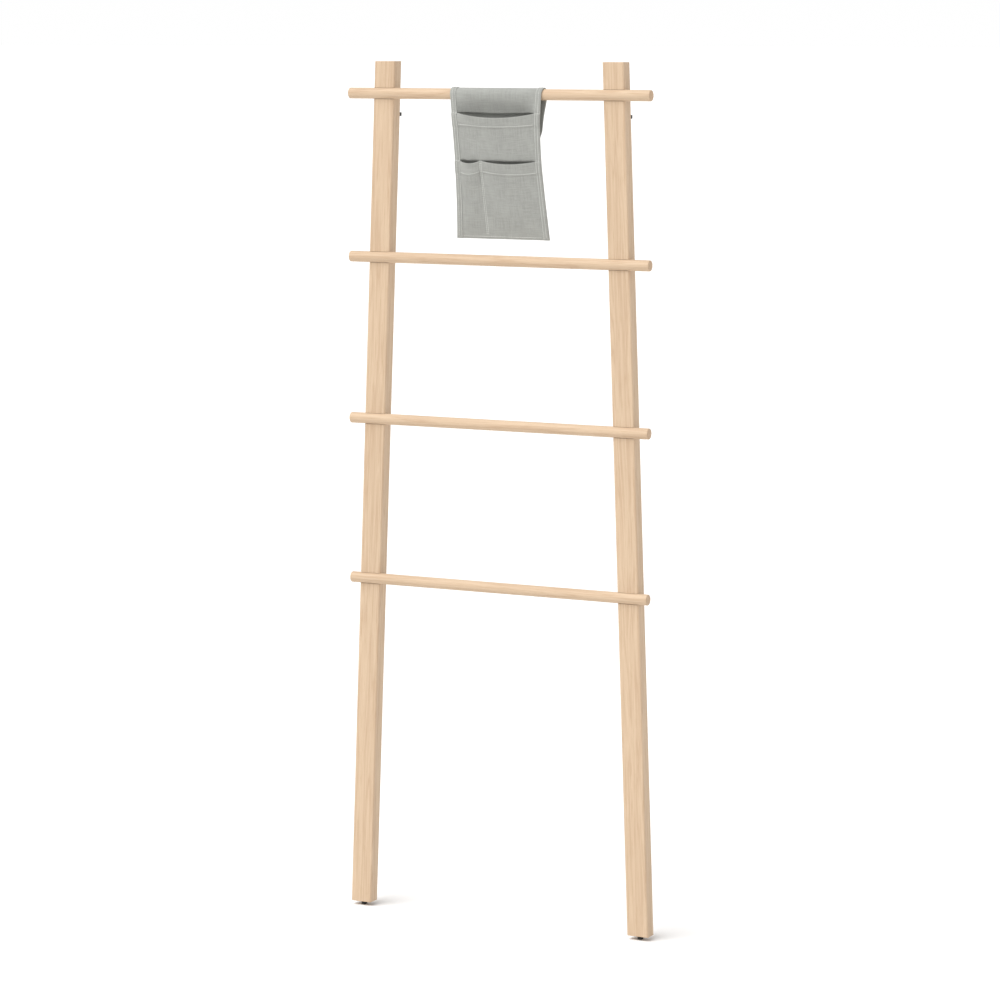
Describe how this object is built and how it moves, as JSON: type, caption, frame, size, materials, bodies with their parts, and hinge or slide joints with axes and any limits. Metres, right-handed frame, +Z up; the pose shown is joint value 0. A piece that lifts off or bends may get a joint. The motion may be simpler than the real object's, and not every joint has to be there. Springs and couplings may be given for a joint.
{
  "type": "towel ladder",
  "caption": "Leaning wooden ladder for towels or a quilt, with round rungs, rubber feet and wall bumpers, and a cloth pocket organiser hung over the top rung.",
  "frame": {"origin": "on the floor, under the middle of the whole object's outline", "axes": "+Z up along the ladder's height, +X along the rungs, and -Y is the front, where the rungs and the organiser's pockets face; +Y is the wall side"},
  "size_m": [0.5856, 0.0476, 1.5],
  "materials": {
    "wood": "pale birch, sanded, clear matt oil",
    "cloth": "light grey heavy cloth with paler stitching",
    "rubber": "black moulded rubber, matt",
    "screw_steel": "zinc plated",
    "stud_nickel": "nickel plated"
  },
  "bodies": {
    "rack": {"post_left": "wood", "post_right": "wood", "rung_1": "wood", "rung_2": "wood", "rung_3": "wood", "rung_4": "wood", "rung_screw_left_1": "screw_steel", "rung_screw_left_2": "screw_steel", "rung_screw_left_3": "screw_steel", "rung_screw_left_4": "screw_steel", "rung_screw_right_1": "screw_steel", "rung_screw_right_2": "screw_steel", "rung_screw_right_3": "screw_steel", "rung_screw_right_4": "screw_steel", "foot_left": "rubber", "foot_right": "rubber", "wall_bumper_left": "rubber", "wall_bumper_right": "rubber"},
    "organiser_loop": {"organiser_saddle": "cloth"},
    "organiser_leaf": {"front_leaf": "cloth", "upper_pocket": "cloth", "lower_pockets": "cloth", "stud_eyelet_1": "stud_nickel", "stud_eyelet_2": "stud_nickel", "stud_eyelet_3": "stud_nickel", "stud_post_1": "stud_nickel", "stud_post_2": "stud_nickel", "stud_post_3": "stud_nickel"},
    "organiser_flap": {"back_flap": "cloth", "stud_socket_1": "stud_nickel", "stud_socket_2": "stud_nickel", "stud_socket_3": "stud_nickel", "stud_cap_1": "stud_nickel", "stud_cap_2": "stud_nickel", "stud_cap_3": "stud_nickel"}
  },
  "joints": [
    {"name": "organiser_slide", "type": "slide", "parent": "rack", "child": "organiser_loop", "axis": [1, 0, 0], "range_m": [-0.1115, 0.1085]},
    {"name": "leaf_lift", "type": "hinge", "parent": "organiser_loop", "child": "organiser_leaf", "pos_m": [0, -0.01831, 1.4437], "axis": [-1, 0, 0], "range_deg": [0, 80]},
    {"name": "flap_open", "type": "hinge", "parent": "organiser_loop", "child": "organiser_flap", "pos_m": [0, 0.00289, 1.4437], "axis": [1, 0, 0], "range_deg": [0, 80]}
  ]
}
